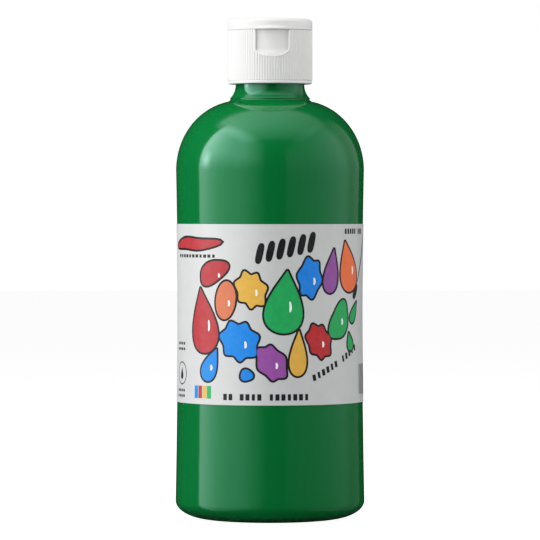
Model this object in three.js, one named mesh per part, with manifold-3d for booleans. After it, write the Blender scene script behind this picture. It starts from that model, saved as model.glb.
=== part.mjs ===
// A 16 fl oz squeeze bottle of tempera paint with a ribbed screw cap and a flip-open lid.
// Millimetres, +Z up. The origin is the centre of the base, on the surface that the bottle stands on.
// The thumb notch of the cap faces -Y and the lid's hinge is at the back, on +Y.

import * as THREE from "three";
import { mergeVertices } from "three/addons/utils/BufferGeometryUtils.js";
import Module from "manifold-3d";

const wasm = await Module();
wasm.setup();

// ---------- Driving dimensions ----------

const OUTER_SIDES = 48; // facets round the bottle, its label and the cap's plain surfaces
const INNER_SIDES = 24; // facets round the bottle's hollow and the paint in it

// Bottle: a blow-moulded shell with a rounded heel, a slight waist and a domed shoulder.
const WALL = 0.9;
const HEEL_R = 34.65; // widest place, at the top of the rounded heel
const HEEL_WIDTH = 12.65; // half-axes of the heel's quarter ellipse
const HEEL_HEIGHT = 6.6;
const WAIST_R = 33.75;
const WAIST_Z = 76;
const SHOULDER_R = 34.43;
const SHOULDER_Z = 127.6;
const DOME_WIDTH = 23.4; // half-axes of the shoulder's quarter ellipse
const DOME_HEIGHT = 25.5;
const STAND_INNER_R = 18; // the flat ring that the bottle stands on lies outside this radius
const PUSH_UP = 2.6; // the base rises this much at its centre, as a shallow bowl

// Neck finish of the 28-410 pattern: 28 mm nominal, one and a half turns at 6 threads to the inch.
const NECK_R = 12.6;
const BORE_R = 10.8;
const NECK_FOOT_R = 15.2; // where the dome ends
const FLARE_FOOT_R = 14.9; // sharp foot of the concave flare, just above a small groove
const FLARE_RADIUS = 7;
const FLARE_TOP_Z = 158.8;
const FOOT_GROOVE_DEPTH = 0.4;
const FOOT_GROOVE_HEIGHT = 0.3;
const NECK_TOP_Z = 176;
const MOUTH_CHAMFER = 0.4;
const THREAD_LEAD = 25.4 / 6;
const THREAD_TURNS = 1.5;
const THREAD_BEAD_R = 1; // the thread is a rounded bead
const THREAD_STAND = 0.05; // the bead's centre stands this far off its wall
const THREAD_SINK = 0.8; // and at the thread's ends it lies this much deeper
const THREAD_TOP_Z = 174.2;

const FILL_ML = 473; // 16 US fluid ounces
const PAINT_GAP = 0.1;

// Label: one printed sheet wrapped round the waist and lapped at the back.
const LABEL_BOTTOM_Z = 43;
const LABEL_TOP_Z = 107.9;
const LABEL_THICKNESS = 0.15;
const LABEL_GAP = 0.05;
const LABEL_LAP = 8;

// Screw cap.
const CAP_BOTTOM_Z = 159;
const PARTING_Z = 178.5; // the lid closes on this plane
const CAP_R = 15.6; // over the rib crests, and round the lid
const RIBS = 100;
const RIB_DEPTH = 0.3;
const FOOT_BEAD_HEIGHT = 1.2;
const FOOT_BEAD_R = 15.35;
const SKIRT_BORE_R = 13.95;
const THREAD_ROOT = 0.3; // the cap's thread is rooted this deep in the skirt
const DECK_THICKNESS = 1.6;
const ORIFICE_R = 3.2; // quarter-inch dispensing hole
const SPOUT_R = 4.6;
const SPOUT_HEIGHT = 1.3;
const SPOUT_TAPER = 0.3;
const SEAT_RING_R = 13.4; // upstanding ring that centres the closed lid
const SEAT_RING_WALL = 0.8;
const SEAT_RING_HEIGHT = 1;
const NOTCH_HALF_WIDTH = 6.1;
const NOTCH_STRAIGHT = 6.6; // height of the notch's straight sides
const NOTCH_ROUND = 3.15; // height of its rounded bottom
const NOTCH_FLOOR_R = 14.55;
const NOTCH_RAMP = 2.3; // the notch's floor slopes out to the ribs over this height

// Sealing ring between the mouth of the bottle and the cap.
const SEAL_INNER_R = 9.6;
const SEAL_OUTER_R = 13.2;
const SEAL_THICKNESS = 0.7;

// Flip lid.
const LID_TOP_Z = 182.7;
const LID_WALL = 1.4;
const LID_ROOF = 1.2;
const LID_EDGE_R = 1.4; // rounding of the lid's top edge
const PARTING_GAP = 0.1;
const PLUG_R = 2.95;
const PLUG_REACH = 1.1; // how far the plug enters the orifice below the parting plane
const PLUG_LEAD_IN = 0.4; // chamfer round the plug's tip
const LIP_R = 12; // the thumb lip is the edge of a disc of this radius, set forward
const LIP_REACH = 0.6; // how far the lip stands proud of the lid
const LIP_HEIGHT = 1.3;
const LIP_EDGE = 0.6; // upright part of the lip's edge; above it the lip slopes back
const LIP_SLOPE = 0.5;

// Living hinge: two film straps that run from the cap to the lid.
const HINGE_Y = 16.1; // the middle of the straps' thickness, and the axis the lid turns about
const STRAP_THICKNESS = 0.35;
const STRAP_WIDTH = 3;
const STRAP_X = 3.6;
const STRAP_HALF_HEIGHT = 1.3;
const LUG_HALF_WIDTH = 6;
const LUG_HEIGHT = 2.4;
const LUG_DEPTH = 2;
const LUG_GAP = 0.05; // between a lug's face and the straps

const JOIN = 0.5; // solids that are joined run this far into each other
const OVERCUT = 1; // and a cutter runs this far past the face it opens

// ---------- Solids ----------

// A closed geometry as a manifold-3d solid.
function solid(geometry) {
  const loose = geometry.index ? geometry.toNonIndexed() : geometry.clone();
  loose.deleteAttribute("normal");
  loose.deleteAttribute("uv");
  const merged = mergeVertices(loose, 1e-3);
  return new wasm.Manifold(
    new wasm.Mesh({
      numProp: 3,
      vertProperties: merged.attributes.position.array,
      triVerts: new Uint32Array(merged.index.array),
    }),
  );
}

// A manifold-3d solid as a named mesh.
function part(name, made, color, roughness) {
  const { vertProperties, triVerts } = made.getMesh();
  const geometry = new THREE.BufferGeometry();
  geometry.setAttribute("position", new THREE.BufferAttribute(new Float32Array(vertProperties), 3));
  geometry.setIndex(new THREE.BufferAttribute(new Uint32Array(triVerts), 1));
  geometry.computeVertexNormals();
  const material = new THREE.MeshStandardMaterial({ color, roughness, metalness: 0 });
  const mesh = new THREE.Mesh(geometry, material);
  mesh.name = name;
  return mesh;
}

// A profile of [radius, height] points turned about the Z axis. It runs up the outside and down the inside.
function turned(profile, sides = OUTER_SIDES) {
  const points = profile.map(([r, z]) => new THREE.Vector2(r, z));
  return solid(new THREE.LatheGeometry(points, sides).rotateX(Math.PI / 2));
}

function disc(radius, bottom, top, sides = OUTER_SIDES) {
  return turned([[0, bottom], [radius, bottom], [radius, top], [0, top]], sides);
}

function ring(innerRadius, outerRadius, bottom, top, sides = OUTER_SIDES) {
  const outline = [[innerRadius, bottom], [outerRadius, bottom], [outerRadius, top], [innerRadius, top]];
  return turned([...outline, outline[0]], sides);
}

function box([x0, y0, z0], [x1, y1, z1]) {
  const geometry = new THREE.BoxGeometry(x1 - x0, y1 - y0, z1 - z0);
  return solid(geometry.translate((x0 + x1) / 2, (y0 + y1) / 2, (z0 + z1) / 2));
}

// An ellipse's arc as [radius, height] points from one angle to the other.
function arc([r, z], width, height, from, to, steps) {
  return Array.from({ length: steps + 1 }, (_, i) => {
    const angle = from + ((to - from) * i) / steps;
    return [r + width * Math.cos(angle), z + height * Math.sin(angle)];
  });
}

class Helix extends THREE.Curve {
  constructor(radius, bottom, fade) {
    super();
    Object.assign(this, { radius, bottom, fade });
  }

  // The ends of the thread sink into the wall over the last sixth of its length.
  getPoint(t, target = new THREE.Vector3()) {
    const angle = 2 * Math.PI * THREAD_TURNS * t;
    const sunk = Math.max(0, 1 - 6 * Math.min(t, 1 - t));
    const r = this.radius + this.fade * sunk;
    const z = this.bottom + THREAD_LEAD * THREAD_TURNS * t;
    return target.set(r * Math.cos(angle), r * Math.sin(angle), z);
  }
}

// A rounded right-hand thread bead. A positive fade sinks its ends outwards, and a negative one inwards.
function thread(radius, bottom, fade) {
  const section = new THREE.Shape();
  section.absarc(0, 0, THREAD_BEAD_R, 0, 2 * Math.PI);
  const extrudePath = new Helix(radius, bottom, fade);
  const options = { steps: 20 * THREAD_TURNS, curveSegments: 4, bevelEnabled: false, extrudePath };
  return solid(new THREE.ExtrudeGeometry(section, options));
}

// ---------- Bottle ----------

const SIDE_HEIGHTS = [25, LABEL_BOTTOM_Z, 60, WAIST_Z, 92, LABEL_TOP_Z, 118];

// Radius of the side wall at a height between the heel and the shoulder.
function sideRadius(z) {
  const [endRadius, endZ] = z < WAIST_Z ? [HEEL_R, HEEL_HEIGHT] : [SHOULDER_R, SHOULDER_Z];
  return WAIST_R + (endRadius - WAIST_R) * ((z - WAIST_Z) / (endZ - WAIST_Z)) ** 1.5;
}

// The bottle's shape set in by an inset, from the edge of the base to the top of the shoulder.
function bodyProfile(inset, heelSteps, domeSteps, domeEndRadius) {
  const heel = [HEEL_R - HEEL_WIDTH, HEEL_HEIGHT];
  const dome = [SHOULDER_R - DOME_WIDTH, SHOULDER_Z];
  const domeWidth = DOME_WIDTH - inset;
  const domeEnd = Math.acos((domeEndRadius - dome[0]) / domeWidth);
  return [
    ...arc(heel, HEEL_WIDTH - inset, HEEL_HEIGHT - inset, -Math.PI / 2, 0, heelSteps),
    ...SIDE_HEIGHTS.map((z) => [sideRadius(z) - inset, z]),
    ...arc(dome, domeWidth, DOME_HEIGHT - inset, 0, domeEnd, domeSteps),
  ];
}

// The concave flare from the shoulder to the neck, and the small groove under its sharp foot.
function flareProfile() {
  const centreR = NECK_R + FLARE_RADIUS;
  const footAngle = Math.PI + Math.acos((centreR - FLARE_FOOT_R) / FLARE_RADIUS);
  const flare = arc([centreR, FLARE_TOP_Z], FLARE_RADIUS, FLARE_RADIUS, footAngle, Math.PI, 5);
  const footZ = flare[0][1];
  const groove = [FLARE_FOOT_R - FOOT_GROOVE_DEPTH, footZ - FOOT_GROOVE_HEIGHT];
  return [groove, ...flare];
}

function makeHollow() {
  const inside = bodyProfile(WALL, 4, 6, BORE_R);
  const floor = [[0, PUSH_UP + WALL], [STAND_INNER_R, WALL]];
  const mouth = [[BORE_R, NECK_TOP_Z + OVERCUT], [0, NECK_TOP_Z + OVERCUT]];
  return turned([...floor, ...inside, ...mouth], INNER_SIDES);
}

function makeBottle() {
  const base = [0, 0.5, 1].map((part) => [STAND_INNER_R * part, PUSH_UP * (1 - part ** 2)]);
  const neck = [[NECK_R, NECK_TOP_Z - MOUTH_CHAMFER], [NECK_R - MOUTH_CHAMFER, NECK_TOP_Z], [0, NECK_TOP_Z]];
  const outside = turned([...base, ...bodyProfile(0, 6, 8, NECK_FOOT_R), ...flareProfile(), ...neck]);
  const threadBottom = THREAD_TOP_Z - THREAD_LEAD * THREAD_TURNS;
  const bead = thread(NECK_R + THREAD_STAND, threadBottom, -THREAD_SINK);
  return outside.add(bead).subtract(makeHollow());
}

// The paint fills the bottle from its floor to the height that holds its volume.
function makePaint() {
  const whole = turned(
    [[0, PUSH_UP + WALL + PAINT_GAP], [STAND_INNER_R, WALL + PAINT_GAP],
      ...bodyProfile(WALL + PAINT_GAP, 4, 6, BORE_R), [0, SHOULDER_Z + DOME_HEIGHT - WALL]],
    INNER_SIDES,
  );
  const upTo = (z) => whole.intersect(disc(2 * SHOULDER_R, -1, z, INNER_SIDES));
  let low = SHOULDER_Z;
  let high = SHOULDER_Z + DOME_HEIGHT;
  for (let i = 0; i < 12; i++) {
    const middle = (low + high) / 2;
    if (upTo(middle).volume() < FILL_ML * 1000) low = middle;
    else high = middle;
  }
  return upTo(low);
}

// ---------- Label ----------

function makeLabel() {
  const heights = SIDE_HEIGHTS.filter((z) => z >= LABEL_BOTTOM_Z && z <= LABEL_TOP_Z);
  const wrap = (inner, thickness) => {
    const outside = heights.map((z) => [sideRadius(z) + inner + thickness, z]);
    const inside = heights.map((z) => [sideRadius(z) + inner, z]).reverse();
    return turned([...outside, ...inside, outside[0]]);
  };
  const half = LABEL_LAP / 2;
  const back = box([-half, 0, LABEL_BOTTOM_Z], [half, HEEL_R + OVERCUT, LABEL_TOP_Z]);
  return wrap(LABEL_GAP, LABEL_THICKNESS).add(wrap(LABEL_GAP, 2 * LABEL_THICKNESS).intersect(back));
}

// ---------- Cap ----------

// The skirt's solid outline: one crest and one root for each rib.
function makeRibbedPrism(bottom, top) {
  const outline = Array.from({ length: 2 * RIBS }, (_, i) => {
    const angle = (Math.PI * i) / RIBS;
    const r = i % 2 ? CAP_R - RIB_DEPTH : CAP_R;
    return new THREE.Vector2(r * Math.cos(angle), r * Math.sin(angle));
  });
  const options = { depth: top - bottom, bevelEnabled: false };
  const prism = new THREE.ExtrudeGeometry(new THREE.Shape(outline), options);
  return solid(prism.translate(0, 0, bottom));
}

// The hollow of the thumb notch: a U seen from the front, cut back to a round floor with a sloping foot.
function makeNotchCutter() {
  const straightBottom = PARTING_Z - NOTCH_STRAIGHT;
  const top = PARTING_Z + OVERCUT;
  const outline = new THREE.Shape();
  outline.moveTo(NOTCH_HALF_WIDTH, top);
  outline.lineTo(-NOTCH_HALF_WIDTH, top);
  outline.lineTo(-NOTCH_HALF_WIDTH, straightBottom);
  outline.absellipse(0, straightBottom, NOTCH_HALF_WIDTH, NOTCH_ROUND, Math.PI, 2 * Math.PI);
  const options = { depth: 2 * CAP_R, curveSegments: 12, bevelEnabled: false };
  const front = solid(new THREE.ExtrudeGeometry(outline, options).rotateX(Math.PI / 2));
  const bottom = straightBottom - NOTCH_ROUND;
  const rampFoot = [CAP_R + 0.1, bottom];
  const outerR = CAP_R + OVERCUT;
  const floor = turned([
    rampFoot, [outerR, bottom], [outerR, top],
    [NOTCH_FLOOR_R, top], [NOTCH_FLOOR_R, bottom + NOTCH_RAMP], rampFoot,
  ]);
  return front.intersect(floor);
}

function makeLug(bottom, top) {
  const face = HINGE_Y - STRAP_THICKNESS / 2 - LUG_GAP;
  return box([-LUG_HALF_WIDTH, face - LUG_DEPTH, bottom], [LUG_HALF_WIDTH, face, top]);
}

function makeCapBody() {
  const deckBottom = PARTING_Z - DECK_THICKNESS;
  const beadTop = CAP_BOTTOM_Z + FOOT_BEAD_HEIGHT;
  const spoutTop = PARTING_Z + SPOUT_HEIGHT;
  const threadBottom = THREAD_TOP_Z - THREAD_LEAD * (THREAD_TURNS + 0.5);
  // The cap's own thread lies midway between the turns of the bottle's, and stays clear of the notch's floor.
  const bead = thread(SKIRT_BORE_R - THREAD_STAND, threadBottom, THREAD_SINK)
    .intersect(disc(SKIRT_BORE_R + THREAD_ROOT, CAP_BOTTOM_Z, deckBottom));
  const root = PARTING_Z - JOIN;
  const seatRing = ring(SEAT_RING_R - SEAT_RING_WALL, SEAT_RING_R, root, PARTING_Z + SEAT_RING_HEIGHT);
  const spout = turned([[0, root], [SPOUT_R, root], [SPOUT_R - SPOUT_TAPER, spoutTop], [0, spoutTop]]);
  return makeRibbedPrism(beadTop, PARTING_Z)
    .add(disc(FOOT_BEAD_R, CAP_BOTTOM_Z, beadTop + JOIN))
    .add(makeLug(PARTING_Z - LUG_HEIGHT, PARTING_Z))
    .subtract(disc(SKIRT_BORE_R, CAP_BOTTOM_Z - OVERCUT, deckBottom))
    .subtract(makeNotchCutter())
    .add(bead)
    .add(seatRing)
    .add(spout)
    .subtract(disc(ORIFICE_R, deckBottom - OVERCUT, spoutTop + OVERCUT, INNER_SIDES));
}

function makeFlipLid() {
  const bottom = PARTING_Z + PARTING_GAP;
  const innerTop = LID_TOP_Z - LID_ROOF;
  const innerR = CAP_R - LID_WALL;
  const edge = arc([CAP_R - LID_EDGE_R, LID_TOP_Z - LID_EDGE_R], LID_EDGE_R, LID_EDGE_R, 0, Math.PI / 2, 4);
  const shell = turned([[innerR, bottom], [CAP_R, bottom], ...edge, [0, LID_TOP_Z], [0, innerTop],
    [innerR, innerTop], [innerR, bottom]]);

  const tip = PARTING_Z - PLUG_REACH;
  const plugTop = innerTop + JOIN;
  const plug = turned([[0, tip], [PLUG_R - PLUG_LEAD_IN, tip], [PLUG_R, tip + PLUG_LEAD_IN],
    [PLUG_R, plugTop], [0, plugTop]], INNER_SIDES);

  const lipTop = bottom + LIP_HEIGHT;
  const lip = turned([[0, bottom], [LIP_R, bottom], [LIP_R, bottom + LIP_EDGE],
    [LIP_R - LIP_SLOPE, lipTop], [0, lipTop]])
    .translate([0, LIP_R - CAP_R - LIP_REACH, 0])
    .subtract(disc(innerR, bottom - OVERCUT, lipTop + OVERCUT));

  const lug = makeLug(bottom, bottom + LUG_HEIGHT).subtract(disc(innerR, bottom - OVERCUT, innerTop));
  return shell.add(plug).add(lip).add(lug);
}

// ---------- Seal and hinge ----------

function makeSealRing() {
  const bottom = (NECK_TOP_Z + PARTING_Z - DECK_THICKNESS - SEAL_THICKNESS) / 2;
  return ring(SEAL_INNER_R, SEAL_OUTER_R, bottom, bottom + SEAL_THICKNESS, INNER_SIDES);
}

function makeStrap(x) {
  const [halfWidth, halfThickness] = [STRAP_WIDTH / 2, STRAP_THICKNESS / 2];
  return box(
    [x - halfWidth, HINGE_Y - halfThickness, PARTING_Z - STRAP_HALF_HEIGHT],
    [x + halfWidth, HINGE_Y + halfThickness, PARTING_Z + STRAP_HALF_HEIGHT],
  );
}

// ---------- Assembly ----------

const GREEN = 0x0a7d46;
const WHITE = 0xeeeeec;

const paintBottle = new THREE.Group();
paintBottle.add(
  part("bottle", makeBottle(), GREEN, 0.15),
  part("paint", makePaint(), 0x067a40, 0.4),
  part("label", makeLabel(), 0xd9dcd9, 0.35),
);

const closure = new THREE.Group();
closure.add(
  part("seal_ring", makeSealRing(), 0xe4e2da, 0.8),
  part("cap_body", makeCapBody(), WHITE, 0.35),
  part("flip_lid", makeFlipLid(), WHITE, 0.3),
  part("hinge_strap_left", makeStrap(-STRAP_X), WHITE, 0.35),
  part("hinge_strap_right", makeStrap(STRAP_X), WHITE, 0.35),
);

const assembly = new THREE.Group();
assembly.add(paintBottle, closure);

export default assembly;
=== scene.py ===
# A 16 fluid ounce squeeze bottle of green tempera paint, with a wrap label and a ribbed flip-top cap.
# Metres, +Z up. The thumb notch of the cap faces -Y and the lid's hinge is at the back, on +Y.
from math import acos, atan2, cos, degrees, hypot, pi, radians, sin, sqrt

import bmesh
import bpy
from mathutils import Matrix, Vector


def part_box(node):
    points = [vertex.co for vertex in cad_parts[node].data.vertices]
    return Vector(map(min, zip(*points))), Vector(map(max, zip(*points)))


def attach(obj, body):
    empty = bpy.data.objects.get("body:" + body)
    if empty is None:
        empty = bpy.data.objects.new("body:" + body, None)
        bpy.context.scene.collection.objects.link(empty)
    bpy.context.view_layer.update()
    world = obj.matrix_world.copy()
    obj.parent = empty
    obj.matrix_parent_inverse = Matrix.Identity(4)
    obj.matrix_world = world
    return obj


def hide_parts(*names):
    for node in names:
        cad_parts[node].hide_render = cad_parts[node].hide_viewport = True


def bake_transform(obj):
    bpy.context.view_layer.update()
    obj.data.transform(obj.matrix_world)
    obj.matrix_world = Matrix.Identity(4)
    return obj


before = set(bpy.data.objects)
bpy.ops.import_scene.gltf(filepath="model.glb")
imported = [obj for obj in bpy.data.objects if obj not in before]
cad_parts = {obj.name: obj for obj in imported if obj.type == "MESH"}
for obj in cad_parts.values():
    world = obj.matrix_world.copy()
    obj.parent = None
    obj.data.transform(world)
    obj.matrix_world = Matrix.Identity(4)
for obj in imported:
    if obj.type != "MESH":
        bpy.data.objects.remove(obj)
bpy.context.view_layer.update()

bpy.ops.object.select_all(action="DESELECT")


# ---------- The studio ----------
# A long lens stands level with the label, a little to the left of the thumb notch. The light is that of a
# pack shot: feathered softboxes left, right and overhead, a small spot on the cap, and fill without glints.

CAMERA_DISTANCE = 1.434
CAMERA_TURN = radians(-3.2)
CAMERA_HEIGHT = 0.1132
AIM_HEIGHT = 0.0910
LENS = 261

spot = Vector((CAMERA_DISTANCE * sin(CAMERA_TURN), -CAMERA_DISTANCE * cos(CAMERA_TURN), CAMERA_HEIGHT))
bpy.ops.object.camera_add(location=spot)
camera = bpy.context.object
camera.rotation_euler = (Vector((0, 0, AIM_HEIGHT)) - spot).to_track_quat("-Z", "Y").to_euler()
camera.data.lens = LENS
camera.data.clip_end = 20
bpy.context.scene.camera = camera

# The film's response: straight in the shadows and middle tones, with a soft shoulder before white.
PAPER_WHITE = 1.35
response = bpy.context.scene.view_settings
response.view_transform = "Standard"
response.use_curve_mapping = True
response.curve_mapping.white_level = (PAPER_WHITE,) * 3
for light_in, light_out in ((0.5, 0.5), (0.75, 0.71), (1.0, 0.86)):
    response.curve_mapping.curves[3].points.new(light_in / PAPER_WHITE, light_out)
response.curve_mapping.update()


def node(tree, kind, sockets=None, **settings):
    """Adds a node. A socket is set by its name or number, to a value or to another node's output."""
    made = tree.nodes.new(kind)
    for name, value in settings.items():
        setattr(made, name, value)
    for socket, value in (sockets or {}).items():
        if isinstance(value, bpy.types.NodeSocket):
            tree.links.new(value, made.inputs[socket])
        else:
            made.inputs[socket].default_value = value
    return made


def ramp(tree, factor, stops, **settings):
    """A colour ramp of grey levels, given as (place, level) stops."""
    made = node(tree, "ShaderNodeValToRGB", {0: factor})
    stretch = made.color_ramp
    for name, value in settings.items():
        setattr(stretch, name, value)
    while len(stretch.elements) < len(stops):
        stretch.elements.new(0.5)
    for element, (place, level) in zip(stretch.elements, stops):
        element.position = place
        element.color = (level, level, level, 1)
    return made.outputs["Color"]


SKY_BEHIND = 0.012  # what glossy surfaces mirror where no softbox stands
SKY_FILL = 0.10  # soft fill on matt surfaces

world = bpy.data.worlds.new("studio")
world.use_nodes = True
bpy.context.scene.world = world
sky = world.node_tree
path = node(sky, "ShaderNodeLightPath")
seen_dark = node(sky, "ShaderNodeMix", {"Factor": path.outputs["Is Glossy Ray"],
                 2: SKY_FILL, 3: SKY_BEHIND}, data_type="FLOAT")
white = node(sky, "ShaderNodeMix", {"Factor": path.outputs["Is Camera Ray"],
             2: seen_dark.outputs[0], 3: PAPER_WHITE}, data_type="FLOAT")
sky.links.new(white.outputs[0], sky.nodes["Background"].inputs["Color"])


def softbox(name, centre, facing, size, brightness, across=None, upward=None, glints=True):
    """An area light. Its brightness is feathered across and upward by (place, level) stops."""
    bpy.ops.object.light_add(type="AREA", location=centre)
    lamp = bpy.context.object
    lamp.name = name
    lamp.rotation_euler = (-Vector(facing)).to_track_quat("Z", "Y").to_euler()
    lamp.data.shape = "RECTANGLE"
    lamp.data.size, lamp.data.size_y = size
    lamp.data.energy = brightness * pi * size[0] * size[1]
    lamp.visible_camera = False
    lamp.visible_glossy = glints
    lamp.data.use_nodes = True
    tree = lamp.data.node_tree
    place = node(tree, "ShaderNodeSeparateXYZ",
                 {0: node(tree, "ShaderNodeNewGeometry").outputs["Parametric"]})
    level = None
    for axis, stops in (("X", across), ("Y", upward)):
        if stops:
            feather = ramp(tree, place.outputs[axis], stops)
            if level is None:
                level = feather
            else:
                product = node(tree, "ShaderNodeMath", {0: level, 1: feather}, operation="MULTIPLY")
                level = product.outputs[0]
    if level is not None:
        tree.links.new(level, tree.nodes["Emission"].inputs["Strength"])
    return lamp


softbox("softbox_left", (-0.442, -0.493, 0.2), (0.92, 0.39, 0), (1.28, 1.9), 7.8,
        across=[(0, 1), (0.1, 0.97), (0.2, 0.74), (0.27, 0.58), (0.4, 0.42), (0.5, 0.39), (0.6, 0.31),
                (0.7, 0.19), (0.8, 0.13), (0.9, 0.065), (1, 0.03)],
        upward=[(0, 0), (0.24, 0.2), (0.34, 0.33), (0.458, 0.4), (0.489, 0.52), (0.521, 0.7), (0.588, 1),
                (0.663, 0.96), (0.758, 0.9), (0.853, 0.7), (0.92, 0.3), (1, 0)])
softbox("softbox_right", (0.648, -0.28, 0.2), (-0.981, 0.191, 0), (2.384, 1.9), 1.2,
        across=[(0, 0.26), (0.083, 0.33), (0.208, 0.39), (0.333, 0.47), (0.417, 0.59), (0.5, 0.76),
                (0.625, 1), (0.667, 0.94), (0.75, 0.42), (0.833, 0.38), (1, 0.38)],
        upward=[(0, 0.2), (0.38, 0.32), (0.41, 0.42), (0.474, 0.84), (0.58, 1), (0.733, 0.9), (0.847, 0.6),
                (1, 0)])
softbox("softbox_top", (0, -0.2, 0.9), (0, 0, -1), (1.5, 1.2), 3.4,
        across=[(0, 0.1), (0.06, 0.45), (0.14, 0.9), (0.3, 0.68), (0.45, 0.54), (0.6, 0.44), (0.75, 0.35),
                (0.9, 0.25), (1, 0.05)],
        upward=[(0, 0), (0.1, 0.35), (0.28, 0.7), (0.45, 1), (0.6, 1), (0.75, 0.85), (0.83, 0.75),
                (0.88, 0.62), (0.91, 0.45), (0.93, 0.18), (1, 0.1)])
softbox("softbox_core", (-0.685, -0.03, 0.264), (1, 0.05, -0.1), (0.2, 0.27), 9,
        across=[(0, 0), (0.5, 1), (1, 0)], upward=[(0, 0), (0.5, 1), (1, 0)])

CAP_MIDDLE = 0.1735
bpy.ops.object.light_add(type="SPOT", location=(-0.15, -1.3, 0.26))
snoot = bpy.context.object
snoot.name = "snoot_on_cap"
snoot.rotation_euler = (Vector((0, 0, CAP_MIDDLE)) - snoot.location).to_track_quat("-Z", "Y").to_euler()
snoot.data.energy = 15
snoot.data.spot_size = radians(2.0)
snoot.data.spot_blend = 0.5
snoot.data.shadow_soft_size = 0.15
snoot.visible_glossy = False

softbox("fill_right", (1.0, -0.3, 0.4), (-1, 0.3, -0.3), (0.8, 0.8), 1.55, glints=False)

FLOOR_GLOW = 1.22  # lifts the paper to white where the lens sees it

bpy.ops.mesh.primitive_plane_add(size=8)
floor = bpy.context.object
floor.name = "floor"
floor.visible_glossy = False
paper = bpy.data.materials.new("pale_paper")
paper.use_nodes = True
tree = paper.node_tree
shader = tree.nodes["Principled BSDF"]
tooth = node(tree, "ShaderNodeTexNoise", {"Vector": node(tree, "ShaderNodeTexCoord").outputs["Object"],
             "Scale": 900.0, "Detail": 2.0})
tree.links.new(ramp(tree, tooth.outputs[0], [(0.3, 0.38), (0.7, 0.42)]), shader.inputs["Base Color"])
shader.inputs["Roughness"].default_value = 0.9
shader.inputs["Specular IOR Level"].default_value = 0.1
shader.inputs["Emission Color"].default_value = (1, 1, 1, 1)
seen = node(tree, "ShaderNodeLightPath").outputs["Is Camera Ray"]
lit = node(tree, "ShaderNodeMath", {0: seen, 1: FLOOR_GLOW}, operation="MULTIPLY")
tree.links.new(lit.outputs[0], shader.inputs["Emission Strength"])
floor.data.materials.append(paper)


# ---------- The bottle ----------
# One blow-moulded shell of polyethylene, 0.9 mm thick, glossy, and green from the paint that wets its inside.
# It has a rounded heel, a slight waist, a domed shoulder, and a 28-410 screw neck with 1.5 turns of thread.

ROUND = 216  # facets round the bottle, shared by the label and its print
SNUG = 0.00002  # kept clear of the moulded size all round
WALL = 0.0009
HEEL_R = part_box("bottle")[1].x - SNUG
NECK_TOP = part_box("bottle")[1].z - SNUG
HEEL_WIDTH, HEEL_HEIGHT = 0.01265, 0.0066
WAIST_R, WAIST_Z = 0.03375, 0.076
SHOULDER_R, SHOULDER_Z = 0.03443, 0.1276
DOME_WIDTH, DOME_HEIGHT = 0.0234, 0.0255
STAND_INNER_R = 0.018
PUSH_UP = 0.0026
NECK_FOOT_R = 0.0152
FLARE_FOOT_R, FLARE_R, FLARE_TOP_Z = 0.0149, 0.007, 0.1588
GROOVE_DEPTH, GROOVE_HEIGHT = 0.0004, 0.0003
NECK_R, BORE_R = 0.0126, 0.0108
MOUTH_ROUND = 0.0004
THREAD_LEAD = 0.0254 / 6
THREAD_TURNS = 1.5
THREAD_BEAD_R = 0.001
THREAD_STAND = 0.00005  # the bead's middle stands this far off its wall
THREAD_TOP_Z = 0.1742
THREAD_SINK = 0.0008
THREAD_STEPS = 48  # a turn
SHARP = 0.00005  # the smallest step drawn


def side_radius(z):
    """Radius of the side wall, which draws in to the waist from the heel and from the shoulder."""
    end_r, end_z = (HEEL_R, HEEL_HEIGHT) if z < WAIST_Z else (SHOULDER_R, SHOULDER_Z)
    return WAIST_R + (end_r - WAIST_R) * ((z - WAIST_Z) / (end_z - WAIST_Z)) ** 1.5


def arc(centre, width, height, start, end, steps):
    """(radius, height) points along an ellipse, between two angles in degrees."""
    angles = [radians(start + (end - start) * i / steps) for i in range(steps + 1)]
    return [(centre[0] + width * cos(a), centre[1] + height * sin(a)) for a in angles]


def body_outline(inset, heel_steps, side_steps, dome_steps, dome_end_r):
    """The bottle's shape, set in by an inset, from its foot to the top of the shoulder."""
    dome_end = degrees(acos((dome_end_r - SHOULDER_R + DOME_WIDTH) / (DOME_WIDTH - inset)))
    rise = (SHOULDER_Z - HEEL_HEIGHT) / side_steps
    side = [(side_radius(z) - inset, z) for z in (HEEL_HEIGHT + rise * i for i in range(1, side_steps))]
    return [*arc((HEEL_R - HEEL_WIDTH, HEEL_HEIGHT), HEEL_WIDTH - inset, HEEL_HEIGHT - inset,
                 -90, 0, heel_steps),
            *side,
            *arc((SHOULDER_R - DOME_WIDTH, SHOULDER_Z), DOME_WIDTH - inset, DOME_HEIGHT - inset,
                 0, dome_end, dome_steps)]


def edit(piece):
    """Puts one piece into edit mode, with only that piece selected."""
    bpy.ops.object.mode_set(mode="OBJECT")
    bpy.ops.object.select_all(action="DESELECT")
    piece.select_set(True)
    bpy.context.view_layer.objects.active = piece
    bpy.ops.object.mode_set(mode="EDIT")
    bpy.ops.mesh.select_mode(type="VERT")


def done():
    bpy.ops.object.mode_set(mode="OBJECT")


def pick(piece, test):
    """In edit mode, selects the vertices whose place passes the test."""
    mesh = bmesh.from_edit_mesh(piece.data)
    for vertex in mesh.verts:
        vertex.select_set(False)
    for vertex in mesh.verts:
        if test(vertex.co):
            vertex.select_set(True)
    mesh.select_flush(True)
    bmesh.update_edit_mesh(piece.data)


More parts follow.
